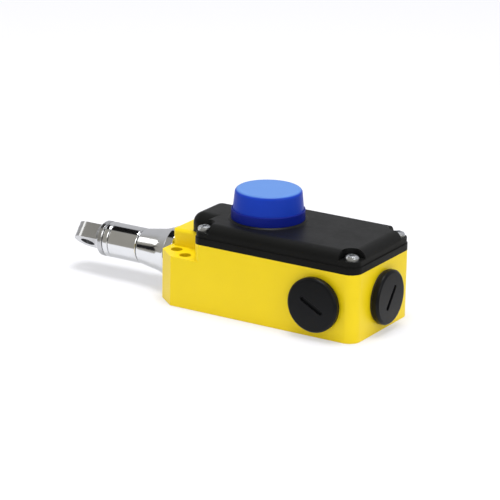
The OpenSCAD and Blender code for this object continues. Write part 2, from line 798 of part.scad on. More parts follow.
module swivel_eye() {
    r = barrel_d / 2;
    color([0.80, 0.80, 0.81]) {
        turned_x([[x_tongue, 0], [x_tongue, eye_r + 0.06], [x_cone, r - 0.1], [x_cone + 0.2, r],
            [x_collar - 0.5, r], [x_collar, r - 0.5], [x_collar, 0]]);
        rod_x(x_collar - 1, x_nut + nut_len - 0.2, shank_d / 2);
        // Tongue with two flats, a round tip and the rope hole
        translate([0, 0, rod_z]) rotate([eye_roll, 0, 0]) difference() {
            rotate([90, 0, 0]) translate([0, 0, -eye_t / 2]) linear_extrude(eye_t) {
                translate([hole_x, 0]) circle(tip_r);
                translate([hole_x, -tip_r]) square([x_cone - hole_x, 2 * tip_r]);
            }
            translate([hole_x, eye_r + 1, 0]) rotate([90, 0, 0])
                cylinder(h = 2 * eye_r + 2, r = eye_hole_d / 2);
        }
    }
}

module swivel_nut() {
    color([0.6, 0.6, 0.62]) along_x(x_nut) difference() {
        cylinder(h = nut_len, r = 6, $fn = 6);
        translate([0, 0, -1]) cylinder(h = nut_len + 2, r = shank_d / 2 + fit);
    }
}

module main_spring() {
    color([0.62, 0.63, 0.65]) along_x(x_bush_face)
        coil(x_washer - x_bush_face, spring_mean_r, main_wire / 2, 6);
}

module thrust_washer() {
    color([0.7, 0.7, 0.72])
        tube_x(x_washer, x_carriage, spring_mean_r + main_wire / 2 - 0.1, shaft_r + fit);
}

// Plan of the carriage: straight, then widening at the ramp behind the plungers
module carriage_plan() {
    w0 = carriage_w / 2;
    w1 = w0 + ramp * (x_carriage_end - plunger_x);
    polygon([[x_carriage, -w0], [plunger_x, -w0], [x_carriage_end, -w1],
        [x_carriage_end, w1], [plunger_x, w0], [x_carriage, w0]]);
}

module cam_carriage() {
    notch_x = nose_x + pull_travel - 0.6;
    color([0.85, 0.85, 0.82]) difference() {
        translate([0, 0, rod_z - carriage_h / 2]) linear_extrude(carriage_h) carriage_plan();
        rod_x(x_carriage - 1, x_carriage_end + 1, shaft_thread_r + fit);
        // Notch that takes the latch's nose when the rod is out
        translate([notch_x, -latch_w / 2 - 0.6, carriage_top - 1.6])
            cube([nose_w + 1.2, latch_w + 1.2, 3]);
    }
}

module shaft_nut() {
    color([0.6, 0.6, 0.62]) along_x(x_carriage_end) difference() {
        rotate([0, 0, 30]) cylinder(h = shaft_nut_t, r = 7.2, $fn = 6);
        translate([0, 0, -1]) cylinder(h = shaft_nut_t + 2, r = shaft_thread_r + fit);
    }
}

// ---------- mechanism ----------

// Places children at the two contact blocks' screws
module at_block_screws() {
    for (x = [block_x0 + 1.7, block_x1 - 1.7], y = [-1, 1])
        translate([x, y * (block_y1 - 1.9), 0]) children();
}

module chassis_plate() {
    edge = half_w - wall - 0.8;
    color([0.66, 0.68, 0.70]) difference() {
        translate([0, 0, plate_z]) linear_extrude(chassis_t)
            round_rect(chassis_x0, chassis_x1, -edge, edge, 2);
        for (y = [-1, 1]) translate([chassis_screw_x, y * chassis_screw_y, 0])
            cylinder(h = housing_h, r = 1.5 + fit);
        translate([centre_screw_x, 0, 0]) cylinder(h = housing_h, r = 1.5 + fit);
        for (y = [-1, 1]) translate([rivet_x, y * 4, 0]) cylinder(h = housing_h, r = 1 + fit);
        at_block_screws() cylinder(h = housing_h, r = 1.2 + fit);
    }
}

module chassis_screws() {
    color([0.75, 0.75, 0.76]) {
        for (y = [-1, 1]) translate([chassis_screw_x, y * chassis_screw_y, deck_z])
            pan_screw(3, 5.6, 2, 4.6);
        translate([centre_screw_x, 0, deck_z]) pan_screw(3, 5.6, 2, 4.6);
    }
}

module latch_bracket() {
    x0 = latch_x - 3;
    x1 = latch_x + 2.5;
    outer = bracket_y + bracket_t;
    color([0.66, 0.68, 0.70]) difference() {
        union() {
            translate([x0, -outer, deck_z]) cube([x1 - x0, 2 * outer, chassis_t]);
            for (y = [-outer, bracket_y]) translate([x0, y, deck_z])
                cube([x1 - x0, bracket_t, latch_z + 3 - deck_z]);
        }
        translate([latch_x, outer + 1, latch_z]) rotate([90, 0, 0])
            cylinder(h = 2 * outer + 2, r = latch_pin_d / 2 + fit);
        for (y = [-1, 1]) translate([rivet_x, y * 4, 0]) cylinder(h = housing_h, r = 1 + fit);
    }
}

module bracket_rivets() {
    color([0.72, 0.72, 0.74]) for (y = [-1, 1]) translate([rivet_x, y * 4, 0]) {
        translate([0, 0, plate_z - 0.5]) cylinder(h = 0.5, r = 1.6);
        translate([0, 0, plate_z - 0.1]) cylinder(h = 2 * chassis_t + 0.2, r = 1);
        translate([0, 0, deck_z + chassis_t]) cylinder(h = 0.6, r = 1.7);
    }
}

module latch_pin() {
    half = bracket_y + bracket_t + 0.1;
    color([0.75, 0.75, 0.78]) translate([latch_x, half, latch_z]) rotate([90, 0, 0])
        cylinder(h = 2 * half, r = latch_pin_d / 2);
}

// Side outline of the latch lever, about the pin
module latch_outline() {
    tail = latch_arm + 1.6;
    nose_foot = carriage_top + gap + 0.1 - latch_z;
    reach = nose_x + nose_w - latch_x;
    circle(hub_r);
    polygon([[-tail, -0.2], [reach - nose_w, -0.2], [reach - nose_w, nose_foot],
        [reach, nose_foot], [reach, latch_t - 0.2], [-tail, latch_t - 0.2]]);
}

module latch_lever() {
    color([0.70, 0.60, 0.35]) translate([latch_x, latch_w / 2, latch_z]) rotate([90, 0, 0])
        difference() {
            linear_extrude(latch_w) latch_outline();
            translate([0, 0, -1]) cylinder(h = latch_w + 2, r = latch_pin_d / 2 + fit);
        }
}

module latch_spring() {
    wire = 0.35;
    len = bracket_y - latch_w / 2 - 0.6;
    color([0.62, 0.63, 0.65]) translate([latch_x, -latch_w / 2 - 0.3, latch_z])
        rotate([90, 0, 0]) coil(len, latch_pin_d / 2 + fit + 0.1 + wire, wire, 5);
}

// One contact block on the front side: cavity, plunger hole, strip slots and screw holes
module contact_block(side) {
    wall_out = 1.2;
    color([0.20, 0.22, 0.24]) on_side(side) difference() {
        translate([block_x0, -block_y1, deck_z])
            cube([block_len, block_y1 - block_y0, block_top - deck_z]);
        translate([block_x0 + 3.5, -block_y1 + wall_out, deck_z - 1])
            cube([block_len - 7, block_y1 - block_y0 - wall_out - block_wall,
                cavity_top - deck_z + 1]);
        translate([plunger_x, -block_y0 + 1, rod_z]) rotate([90, 0, 0])
            cylinder(h = block_wall + 2, r = plunger_r + fit);
        for (s = [-1, 1]) {
            translate([plunger_x + s * strip_off - strip_w / 2 - 0.1, -contact_y1 - 0.1,
                cavity_top - 1]) cube([strip_w + 0.2, 1.2, block_top]);
            translate([plunger_x + s * strip_off, -contact_y0 + 1.3, cavity_top + 1.5])
                cylinder(h = block_top, r = 1 + fit);
        }
        for (x = [block_x0 + 1.7, block_x1 - 1.7])
            translate([x, -block_y1 + 1.9, 0]) cylinder(h = block_top + 2, r = 1.2 + fit);
    }
}

module contact_block_front() { contact_block(-1); }
module contact_block_rear() { contact_block(1); }

module block_screws() {
    color([0.75, 0.75, 0.76]) at_block_screws()
        translate([0, 0, block_top]) pan_screw(2.4, 3.6, 1.4, block_top - plate_z);
}

// Plunger: a pin with a round nose on the carriage and a shoulder behind the bridge
module contact_plunger(side) {
    tail_y = bridge_y0 + bridge_t + 1.6;
    color([0.88, 0.88, 0.84]) on_side(side) {
        translate([plunger_x, -tip_y, rod_z]) rotate([90, 0, 0]) {
            cylinder(h = tail_y - tip_y, r = plunger_r);
            sphere(plunger_r);
        }
    }
}

module contact_plunger_front() { contact_plunger(-1); }
module contact_plunger_rear() { contact_plunger(1); }

module contact_bridge(side) {
    color([0.80, 0.62, 0.25]) on_side(side) difference() {
        translate([plunger_x - strip_off - strip_w / 2, -bridge_y0 - bridge_t, rod_z - 2.2])
            cube([2 * strip_off + strip_w, bridge_t, 4.4]);
        translate([plunger_x, 0, rod_z]) rotate([90, 0, 0])
            cylinder(h = bridge_y0 + 5, r = plunger_r + 0.02);
    }
}

module contact_bridge_front() { contact_bridge(-1); }
module contact_bridge_rear() { contact_bridge(1); }

module plunger_spring(side) {
    y0 = bridge_y0 + bridge_t;
    y1 = block_y1 - 1.2;
    color([0.62, 0.63, 0.65]) on_side(side) translate([plunger_x, -y0, rod_z])
        rotate([90, 0, 0]) coil(y1 - y0, plunger_r + 0.5, 0.25, 4);
}

module plunger_spring_front() { plunger_spring(-1); }
module plunger_spring_rear() { plunger_spring(1); }

// Fixed contacts: a strip on each side of the plunger, folded over the block's top
module fixed_contacts(side) {
    color([0.80, 0.62, 0.25]) on_side(side) for (s = [-1, 1]) difference() {
        union() {
            translate([plunger_x + s * strip_off - strip_w / 2, -contact_y1, rod_z - 2.2])
                cube([strip_w, 1, block_top + strip_t - rod_z + 2.2]);
            translate([plunger_x + s * strip_off - strip_w / 2, -contact_y1, block_top])
                cube([strip_w, contact_y1 - block_y0 - 0.3, strip_t]);
        }
        translate([plunger_x + s * strip_off, -contact_y0 + 1.3, block_top - 1])
            cylinder(h = 4, r = 1 + fit);
    }
}

module fixed_contacts_front() { fixed_contacts(-1); }
module fixed_contacts_rear() { fixed_contacts(1); }

module terminal_screws() {
    color([0.75, 0.75, 0.76])
        for (side = [-1, 1], s = [-1, 1]) on_side(side)
            translate([plunger_x + s * strip_off, -contact_y0 + 1.3, block_top + strip_t])
                pan_screw(2, 2.6, 1.3, 4);
}

module earth_screw() {
    color([0.78, 0.78, 0.80]) translate([earth_x, 0, plate_z + 1.8])
        pan_screw(4, 7, 2.6, 5.4);
}

module earth_washer() {
    color([0.80, 0.66, 0.30]) translate([earth_x, 0, plate_z + 1]) difference() {
        cylinder(h = 0.8, r = 4.6);
        translate([0, 0, -1]) cylinder(h = 3, r = 2 + fit);
    }
}

// ---------- nodes ----------

housing();
cover();
cover_gasket();
cover_screws();
front_plug();
end_plug();
rear_plug();
plug_seals();
reset_bezel();
stem_seal();
reset_cap();
reset_stem();
stem_clip();
cap_spring();
guide_sleeve();
rod_wiper();
guide_bush();
pull_shaft();
barrel();
swivel_ring();
swivel_eye();
swivel_nut();
main_spring();
thrust_washer();
cam_carriage();
shaft_nut();
chassis_plate();
chassis_screws();
latch_bracket();
bracket_rivets();
latch_pin();
latch_lever();
latch_spring();
contact_block_front();
contact_block_rear();
block_screws();
contact_plunger_front();
contact_plunger_rear();
contact_bridge_front();
contact_bridge_rear();
plunger_spring_front();
plunger_spring_rear();
fixed_contacts_front();
fixed_contacts_rear();
terminal_screws();
earth_screw();
earth_washer();
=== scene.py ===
"""Rope pull switch: the finish of every piece and a plain studio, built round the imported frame.

Each operator dresses one group of pieces. A piece keeps the place and the size that the frame
gives it; its edges are softened and its surface gets the detail of the real finish.
"""

import json
import math

import bmesh
import bpy
from bpy.props import FloatProperty, FloatVectorProperty, PointerProperty
from mathutils import Matrix, Vector

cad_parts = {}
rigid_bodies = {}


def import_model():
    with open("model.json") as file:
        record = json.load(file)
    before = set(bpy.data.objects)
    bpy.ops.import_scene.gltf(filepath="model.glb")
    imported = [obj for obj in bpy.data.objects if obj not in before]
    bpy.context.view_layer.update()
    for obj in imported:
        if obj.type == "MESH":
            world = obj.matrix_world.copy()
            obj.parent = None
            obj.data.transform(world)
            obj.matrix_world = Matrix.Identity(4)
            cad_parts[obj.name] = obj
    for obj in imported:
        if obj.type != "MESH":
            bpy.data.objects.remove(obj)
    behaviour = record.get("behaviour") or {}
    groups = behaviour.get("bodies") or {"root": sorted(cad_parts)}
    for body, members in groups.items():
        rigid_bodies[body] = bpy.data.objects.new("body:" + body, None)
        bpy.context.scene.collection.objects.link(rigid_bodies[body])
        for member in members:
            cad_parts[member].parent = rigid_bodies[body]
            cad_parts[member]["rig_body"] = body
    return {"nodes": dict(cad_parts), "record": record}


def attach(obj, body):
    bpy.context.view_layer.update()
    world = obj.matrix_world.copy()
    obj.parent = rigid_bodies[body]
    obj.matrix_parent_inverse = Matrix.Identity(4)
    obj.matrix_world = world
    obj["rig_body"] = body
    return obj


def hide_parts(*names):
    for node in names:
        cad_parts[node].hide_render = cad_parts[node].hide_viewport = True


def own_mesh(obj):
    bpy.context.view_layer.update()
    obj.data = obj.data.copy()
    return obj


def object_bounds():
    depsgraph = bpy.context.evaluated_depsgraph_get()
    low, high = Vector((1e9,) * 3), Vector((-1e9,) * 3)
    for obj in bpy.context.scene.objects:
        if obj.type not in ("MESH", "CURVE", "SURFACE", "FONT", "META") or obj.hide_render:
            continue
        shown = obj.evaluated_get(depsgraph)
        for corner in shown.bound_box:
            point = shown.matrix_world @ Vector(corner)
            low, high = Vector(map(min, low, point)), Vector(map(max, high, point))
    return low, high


bl_info = {
    "name": "Rope pull switch",
    "version": (1, 0, 0),
    "blender": (4, 5, 0),
    "location": "3D View > Sidebar > Switch",
    "description": "Dresses the frame of a rope pull switch and sets up its studio",
    "category": "Object",
}

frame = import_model()
NODES = frame["nodes"]
BODY_OF = {name: node["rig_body"] for name, node in NODES.items()}
SLOT_OF = {part["node"]: part["material_slot"] for part in frame["record"]["subparts"]}
CAD_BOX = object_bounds()
FINISH_NAME = "{}_finish"
MM = 0.001

# Where the lamps and the camera stand, in metres. All lamps look at the middle of the object.
MIDDLE = (0.0, 0.0, 0.02)
TOP_LAMP_SIZE, TOP_LAMP_PLACE = 0.45, (0.03, 0.02, 1.2)
LEFT_LAMP_SIZE, LEFT_LAMP_PLACE = 0.4, (-1.07, -0.39, 0.68)
SIDE_LAMP_SIZE, SIDE_LAMP_PLACE = 0.5, (1.0, -0.35, 0.5)
CAMERA_PLACE = Vector((0.57082, -0.97234, 0.38848))
CAMERA_RIGHT = Vector((0.852748, 0.521988, 0.018698))
CAMERA_BACK = Vector((0.492195, -0.815027, 0.305737))
SENSOR_WIDTH = 36.0
FLOOR_SIZE = 8.0
FLOOR_DROP = 0.05 * MM

# The dark flag overhead, as slopes from the object, and the dark corner beyond the rope's end
FLAG_ALONG, FLAG_ACROSS, FLAG_LOWEST = (-0.95, -0.30), (-0.20, 0.58), 0.35
CORNER_LEFT, CORNER_NEAR, CORNER_TOP = (0.62, 0.88), 0.1, 0.29
FLAG_COLOUR = (0.004, 0.004, 0.004)
CORNER_COLOUR = (0.012, 0.012, 0.014)
WHITE = (1.0, 1.0, 1.0)

# Share of a bare plastic's or paint's usual mirror reflection
PAINT_SHINE, GRAINED_SHINE, SATIN_SHINE = 0.25, 0.16, 0.12

# Edges whose faces meet at more than these angles, in degrees, are softened
SHARP, SHARP_ON_TURNED, SHARP_ON_SLOPES = 32.0, 20.0, 14.0


# ---------- settings ----------


def shade(label, text, default):
    """A colour property, in linear light."""
    return FloatVectorProperty(
        name=label, description=text, default=default, subtype="COLOR", min=0.0, max=1.0
    )


def length(label, text, default_mm, low_mm=0.0, high_mm=5.0):
    """A length property whose default is given in millimetres."""
    return FloatProperty(
        name=label,
        description=text,
        default=default_mm * MM,
        min=low_mm * MM,
        max=high_mm * MM,
        unit="LENGTH",
        precision=5,
    )


class SwitchColours(bpy.types.PropertyGroup):
    """Colours of the paints, mouldings and metals."""

    paint: shade("Paint", "Powder coat of the cast housing", (0.885, 0.660, 0.005))
    cover: shade("Cover", "Moulded plastic of the cover", (0.0055, 0.0058, 0.0055))
    plug: shade("Plugs", "Moulded plastic of the blanking plugs", (0.0045, 0.0050, 0.0060))
    rubber: shade("Rubber", "Seals, gasket and wiper", (0.012, 0.012, 0.013))
    cap: shade("Reset cap", "Moulded plastic of the reset cap", (0.007, 0.043, 0.430))
    # Painted light: the cap's top face gets a paler blue than its sides, standing for light from
    # above.
    cap_top: shade("Cap top", "Frosted top face of the reset cap", (0.110, 0.250, 0.620))
    bezel: shade("Bezel", "Moulded plastic of the ring round the cap", (0.003, 0.012, 0.220))
    chrome: shade("Chrome", "Plated parts of the pull rod", (0.780, 0.790, 0.800))
    steel: shade("Steel", "Turned steel parts", (0.560, 0.565, 0.575))
    zinc: shade("Zinc", "Zinc plated screws, nuts and plates", (0.620, 0.640, 0.660))
    spring: shade("Spring wire", "Drawn spring wire", (0.400, 0.405, 0.415))
    bronze: shade("Bronze", "Sintered bush", (0.520, 0.330, 0.130))
    brass: shade("Brass", "Contact parts and latch", (0.680, 0.490, 0.190))
    natural: shade("Natural plastic", "Carriage and plungers", (0.720, 0.710, 0.640))
    grey: shade("Grey plastic", "Contact blocks", (0.060, 0.065, 0.070))


class SwitchSurfaces(bpy.types.PropertyGroup):
    """Sizes of softened edges and of the grain in each finish."""

    casting_edge: length("Casting edge", "Softening of the housing's edges", 0.45)
    cover_edge: length("Cover edge", "Softening of the cover's sharp edges", 0.35)
    plug_edge: length("Plug edge", "Softening of the plugs' edges", 0.25)
    turned_edge: length("Turned edge", "Softening of the turned metal edges", 0.2)
    peel: length("Orange peel", "Spacing of the waves in the powder coat", 1.6)
    speckle: length("Paint speckle", "Spacing of the finest texture in the powder coat", 0.28)
    grain: length("Moulding grain", "Spacing of the eroded texture of the cover", 0.35)
    lathe_line: length("Lathe lines", "Spacing of the turning marks on the metal", 0.16)
    paint_gloss: FloatProperty(
        name="Paint roughness", description="Roughness of the powder coat", default=0.36,
        min=0.0, max=1.0, subtype="FACTOR",
    )
    cover_gloss: FloatProperty(
        name="Cover roughness", description="Roughness of the cover's plastic", default=0.44,
        min=0.0, max=1.0, subtype="FACTOR",
    )
    chrome_gloss: FloatProperty(
        name="Chrome roughness", description="Roughness of the plated rod", default=0.11,
        min=0.0, max=1.0, subtype="FACTOR",
    )


class SwitchStudio(bpy.types.PropertyGroup):
    """Light levels and the shade of the floor."""

    top_power: FloatProperty(
        name="Top lamp", description="Power of the lamp straight above",
        default=9.0, min=0.0, unit="POWER",
    )
    key_power: FloatProperty(
        name="Left lamp", description="Power of the lamp beyond the rope end",
        default=0.75, min=0.0, unit="POWER",
    )
    side_power: FloatProperty(
        name="Side lamp", description="Power of the lamp at the plain end",
        default=2.0, min=0.0, unit="POWER",
    )
    sky: FloatProperty(
        name="Surround", description="Level of the light from all round", default=0.70, min=0.0
    )
    backdrop: shade("Backdrop", "What gloss sees behind the object", (0.56, 0.56, 0.58))
    room: shade("Room", "What gloss sees on the near side", (0.35, 0.335, 0.30))
    sheet_front: FloatProperty(
        name="Sheet front", description="Front edge of the white sheet, as gloss sees it",
        default=-0.075, unit="LENGTH",
    )
    sheet_left: FloatProperty(
        name="Sheet left", description="Left edge of the white sheet, as gloss sees it",
        default=-0.28, unit="LENGTH",
    )
    sheet_right: FloatProperty(
        name="Sheet right", description="Right edge of the white sheet, as gloss sees it",
        default=0.085, unit="LENGTH",
    )
    floor_mix: FloatProperty(
        name="Floor glow", description="Share of the floor that shows plain white",
        default=0.4, min=0.0, max=1.0, subtype="FACTOR",
    )
    floor: shade("Floor", "Colour of the floor", (0.85, 0.85, 0.90))
    focal: FloatProperty(
        name="Focal length", description="Camera lens in millimetres", default=194.4845, min=1.0
    )


# ---------- shader maths ----------


class Wire:
    """A shader socket that takes part in Python arithmetic; each operation adds a Math node."""

    def __init__(self, paint, socket):
        self.paint = paint
        self.socket = socket

    def _math(self, operation, first, second=0.0):
        return self.paint.node(
            "ShaderNodeMath", {"operation": operation}, {0: first, 1: second}
        )

    def __add__(self, other):
        return self._math("ADD", self, other)

    def __sub__(self, other):
        return self._math("SUBTRACT", self, other)

    def __mul__(self, other):
        return self._math("MULTIPLY", self, other)

    def __truediv__(self, other):
        return self._math("DIVIDE", self, other)

    __radd__ = __add__
    __rmul__ = __mul__

    def __rsub__(self, other):
        return self._math("SUBTRACT", other, self)

    def __neg__(self):
        return 0.0 - self

    def between(self, low, high, soft):
        """1 between two levels and 0 outside them, with soft steps."""
        return self.above(low, soft) * (1.0 - self.above(high, soft))

    def above(self, level, soft):
        """0 below the level and 1 above it, with a soft step between."""
        return self.paint.node(
            "ShaderNodeMapRange",
            {"interpolation_type": "SMOOTHSTEP"},
            {"Value": self, "From Min": level - soft, "From Max": level + soft},
        )


class Paint:
    """A material, or a world, whose nodes are made by one method."""

    def __init__(self, name, owners=None, place="Object"):
        self.material = (bpy.data.materials if owners is None else owners).new(name)
        self.material.use_nodes = True
        self.tree = self.material.node_tree
        self.tree.nodes.clear()
        self.place = self.node("ShaderNodeTexCoord", out=place)

    def node(self, kind, settings=None, sockets=None, out=0):
        """Adds a node: its settings first, then the values or links of its sockets."""
        made = self.tree.nodes.new(kind)
        for key, value in (settings or {}).items():
            if key == "stops":
                ramp = made.color_ramp.elements
                while len(ramp) < len(value):
                    ramp.new(0.5)
                for stop, (position, colour) in zip(ramp, value):
                    stop.position = position
                    stop.color = (*colour, 1.0)
            else:
                setattr(made, key, value)
        for key, value in (sockets or {}).items():
            self.join(made.inputs[key], value)
        return Wire(self, made.outputs[out]) if made.outputs else None

    def join(self, socket, value):
        """Links a wire to a socket, or sets the socket's value."""
        if isinstance(value, Wire):
            self.tree.links.new(value.socket, socket)
        elif socket.type == "RGBA":
            socket.default_value = (*value[:3], 1.0)
        else:
            socket.default_value = value

    def noise(self, spacing, detail=2.0, rough=0.5, stretch=None):
        """Noise from 0 to 1 whose features are about the given spacing apart, in metres."""
        place = self.place
        if stretch:
            place = self.node("ShaderNodeMapping", None, {"Vector": place, "Scale": stretch})
        return self.node(
            "ShaderNodeTexNoise",
            {"noise_dimensions": "3D"},
            {"Vector": place, "Scale": 1.0 / spacing, "Detail": detail, "Roughness": rough},
            out="Fac",
        )

    def axes(self):
        """The place's three coordinates."""
        split = self.node("ShaderNodeSeparateXYZ", None, {0: self.place})
        return [Wire(self, out) for out in split.socket.node.outputs]

    def ray(self, *kinds):
        """1 for rays of any of these kinds and 0 for the rest."""
        seen = None
        for kind in kinds:
            this = self.node("ShaderNodeLightPath", out=f"Is {kind} Ray")
            seen = this if seen is None else seen._math("MAXIMUM", seen, this)
        return seen

    def mix(self, amount, first, second):
        """Blends two colours."""
        return self.node(
            "ShaderNodeMix", {"data_type": "RGBA"},
            {"Factor": amount, 6: first, 7: second}, out=2,
        )

    def bump(self, height, strength, distance, normal=None):
        """A normal raised by a height, whose depth is in metres."""
        sockets = {"Height": height, "Strength": strength, "Distance": distance}
        if normal is not None:
            sockets["Normal"] = normal
        return self.node("ShaderNodeBump", None, sockets)

    def finish(self, sockets):
        """Ends the material in one Principled shader."""
        shader = self.node("ShaderNodeBsdfPrincipled", None, sockets)
        self.node("ShaderNodeOutputMaterial", {"is_active_output": True}, {"Surface": shader})
        return self.material


def tint(colour, factor):
    """A colour made darker or lighter."""
    return tuple(min(1.0, c * factor) for c in colour)


# ---------- finishes, one for each slot ----------


def powder_coat(name, colours, surfaces):
    """Glossy powder coat with orange peel, fine speckle and a slight drift of colour."""
    paint = Paint(name)
    drift = paint.noise(18 * MM, 3.0)
    peel = paint.noise(surfaces.peel, 1.0, 0.4)
    speckle = paint.noise(surfaces.speckle, 2.0)
    colour = paint.mix(drift, tint(colours.paint, 0.965), tint(colours.paint, 1.03))
    colour = paint.mix(speckle.above(0.66, 0.08) * 0.12, colour, tint(colours.paint, 0.7))
    relief = paint.bump(peel, 0.25, 0.05 * MM)
    relief = paint.bump(speckle, 0.10, 0.02 * MM, relief)
    return paint.finish({
        "Base Color": colour,
        "Roughness": surfaces.paint_gloss + 0.10 * (drift - 0.5) + 0.06 * (speckle - 0.5),
        "Normal": relief,
        "Specular IOR Level": PAINT_SHINE,
    })


def eroded_plastic(name, colour, gloss, spacing, depth_mm):
    """Moulded plastic with a spark-eroded grain and faint handling marks."""
    paint = Paint(name)
    grain = paint.noise(spacing, 3.0, 0.6)
    cloud = paint.noise(14 * MM, 2.0)
    marks = paint.noise(2.2 * MM, 4.0, 0.65)
    shown = paint.mix(cloud, tint(colour, 0.86), tint(colour, 1.14))
    shown = paint.mix(marks.above(0.72, 0.05) * 0.35, shown, tint(colour, 1.7))
    return paint.finish({
        "Base Color": shown,
        "Roughness": gloss + 0.16 * (cloud - 0.5) + 0.12 * (marks - 0.5),
        "Normal": paint.bump(grain, 0.35, depth_mm * MM),
        "Specular IOR Level": GRAINED_SHINE,
    })


def satin_plastic(name, colour, gloss, top=None):
    """Smooth moulded plastic with a soft sheen and very fine texture; if asked, faces that point
    up get a paler colour, painted light from above.
    """
    paint = Paint(name)
    cloud = paint.noise(9 * MM, 2.0)
    fine = paint.noise(0.25 * MM, 2.0)
    shown = paint.mix(cloud, tint(colour, 0.93), tint(colour, 1.07))
    if top:
        # Painted light: faces that point up take the paler top colour, as if lit from above.
        facing = paint.node("ShaderNodeNewGeometry", out="Normal")
        up = paint.node("ShaderNodeSeparateXYZ", None, {0: facing}, out="Z")
        shown = paint.mix(up.above(0.75, 0.2), shown, top)
    return paint.finish({
        "Base Color": shown,
        "Roughness": gloss + 0.10 * (cloud - 0.5) + 0.06 * (fine - 0.5),
        "Normal": paint.bump(fine, 0.15, 0.02 * MM),
        "Specular IOR Level": SATIN_SHINE,
    })


def rubber(name, colour):
    """Dull moulded rubber with a bloom."""
    paint = Paint(name)
    bloom = paint.noise(2.5 * MM, 4.0, 0.6)
    fine = paint.noise(0.3 * MM, 2.0)
    return paint.finish({
        "Base Color": paint.mix(bloom, colour, tint(colour, 2.2)),
        "Roughness": 0.62 + 0.2 * (bloom - 0.5),
        "Normal": paint.bump(fine, 0.3, 0.04 * MM),
        "IOR": 1.5,
    })


def plated(name, colour, gloss, line):
    """Bright plating over turned metal: faint turning marks round the X axis and a fine haze."""
    paint = Paint(name)
    lines = paint.noise(line, 2.0, 0.5, stretch=(1.0, 0.02, 0.02))
    haze = paint.noise(6 * MM, 3.0)
    specks = paint.noise(0.9 * MM, 4.0, 0.6)
    shown = paint.mix(haze, tint(colour, 0.94), tint(colour, 1.04))
    shown = paint.mix(specks.above(0.70, 0.05) * 0.25, shown, tint(colour, 0.6))
    return paint.finish({
        "Base Color": shown,
        "Metallic": 1.0,
        "Roughness": gloss + 0.05 * (haze - 0.5) + 0.06 * (lines - 0.5),
        "Normal": paint.bump(lines, 0.12, 0.01 * MM),
    })


def worked_metal(name, colour, gloss, spacing):
    """Rolled, pressed or drawn metal with a mottled surface."""
    paint = Paint(name)
    mottle = paint.noise(spacing, 4.0, 0.6)
    haze = paint.noise(5 * MM, 2.0)
    shown = paint.mix(mottle, tint(colour, 0.82), tint(colour, 1.12))
    return paint.finish({
        "Base Color": paint.mix(haze * 0.3, shown, tint(colour, 0.9)),
        "Metallic": 1.0,
        "Roughness": gloss + 0.22 * (mottle - 0.5),
        "Normal": paint.bump(mottle, 0.2, 0.02 * MM),
    })


def make_finish(slot):
    """The material of one of the record's slots."""
    scene = bpy.context.scene
    colours, surfaces = scene.switch_colours, scene.switch_surfaces
    line = surfaces.lathe_line
    makers = {
        "yellow_paint": lambda n: powder_coat(n, colours, surfaces),
        "black_cover": lambda n: eroded_plastic(
            n, colours.cover, surfaces.cover_gloss, surfaces.grain, 0.05),
        "black_plastic": lambda n: eroded_plastic(n, colours.plug, 0.36, 0.5 * MM, 0.03),
        "black_rubber": lambda n: rubber(n, colours.rubber),
        "blue_plastic": lambda n: satin_plastic(n, colours.cap, 0.40, colours.cap_top),
        "dark_blue_plastic": lambda n: satin_plastic(n, colours.bezel, 0.45),
        "grey_plastic": lambda n: eroded_plastic(n, colours.grey, 0.5, 0.4 * MM, 0.03),
        "natural_plastic": lambda n: satin_plastic(n, colours.natural, 0.45),
        "chrome": lambda n: plated(n, colours.chrome, surfaces.chrome_gloss, line),
        "polished_steel": lambda n: plated(n, colours.steel, 0.2, line),
        "zinc_steel": lambda n: worked_metal(n, colours.zinc, 0.28, 0.7 * MM),
        "spring_steel": lambda n: worked_metal(n, colours.spring, 0.34, 0.4 * MM),
        "bronze": lambda n: worked_metal(n, colours.bronze, 0.42, 0.25 * MM),
        "brass": lambda n: worked_metal(n, colours.brass, 0.30, 0.6 * MM),
    }
    if slot not in makers:
        raise RuntimeError(f"no finish is written for the slot {slot}")
    return makers[slot](FINISH_NAME.format(slot))


def finish_for(slot):
    """The slot's material, made the first time it is asked for."""
    return bpy.data.materials.get(FINISH_NAME.format(slot)) or make_finish(slot)


# ---------- mesh work ----------


def soften(bm, edges, width, segments):
    """Rounds edges to the given width."""
    if edges and width > 0:
        bmesh.ops.bevel(
            bm, geom=edges, offset=width, offset_type="OFFSET", segments=segments,
            profile=0.5, affect="EDGES", clamp_overlap=True, material=-1,
        )


def merged(node):
    """A bmesh of a CAD node with its loose triangles joined and its flats made whole."""
    bm = bmesh.new()
    bm.from_mesh(NODES[node].data)
    bmesh.ops.remove_doubles(bm, verts=bm.verts, dist=0.0005 * MM)
    bmesh.ops.dissolve_limit(
        bm, angle_limit=math.radians(0.4), verts=bm.verts, edges=bm.edges,
        use_dissolve_boundaries=False,
    )
    return bm


def sharp_edges(bm, degrees):
    """Edges whose faces meet at more than an angle."""
    limit = math.radians(degrees)
    return [
        e for e in bm.edges if len(e.link_faces) == 2 and e.calc_face_angle(0.0) > limit
    ]


def shown(bm, name, node):
    """Makes an object of a bmesh, shades it, and lets it stand for a CAD node."""
    limit = math.radians(SHARP)
    for face in bm.faces:
        face.smooth = True
    for edge in bm.edges:
        edge.smooth = len(edge.link_faces) == 2 and edge.calc_face_angle(0.0) < limit
    mesh = bpy.data.meshes.new(name)
    bm.to_mesh(mesh)
    bm.free()
    piece = bpy.data.objects.new(name, mesh)
    bpy.context.scene.collection.objects.link(piece)
    flats = piece.modifiers.new("Even flats", "WEIGHTED_NORMAL")
    flats.keep_sharp = True
    flats.weight = 80
    slot = SLOT_OF[node]
    mesh.materials.append(finish_for(slot))
    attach(piece, BODY_OF[node])
    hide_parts(node)
    return piece


def dressed(node, name, width, degrees=SHARP, segments=3):
    """A CAD node's own shape with its sharp edges softened."""
    bm = merged(node)
    soften(bm, sharp_edges(bm, degrees), width, segments)
    return shown(bm, name, node)


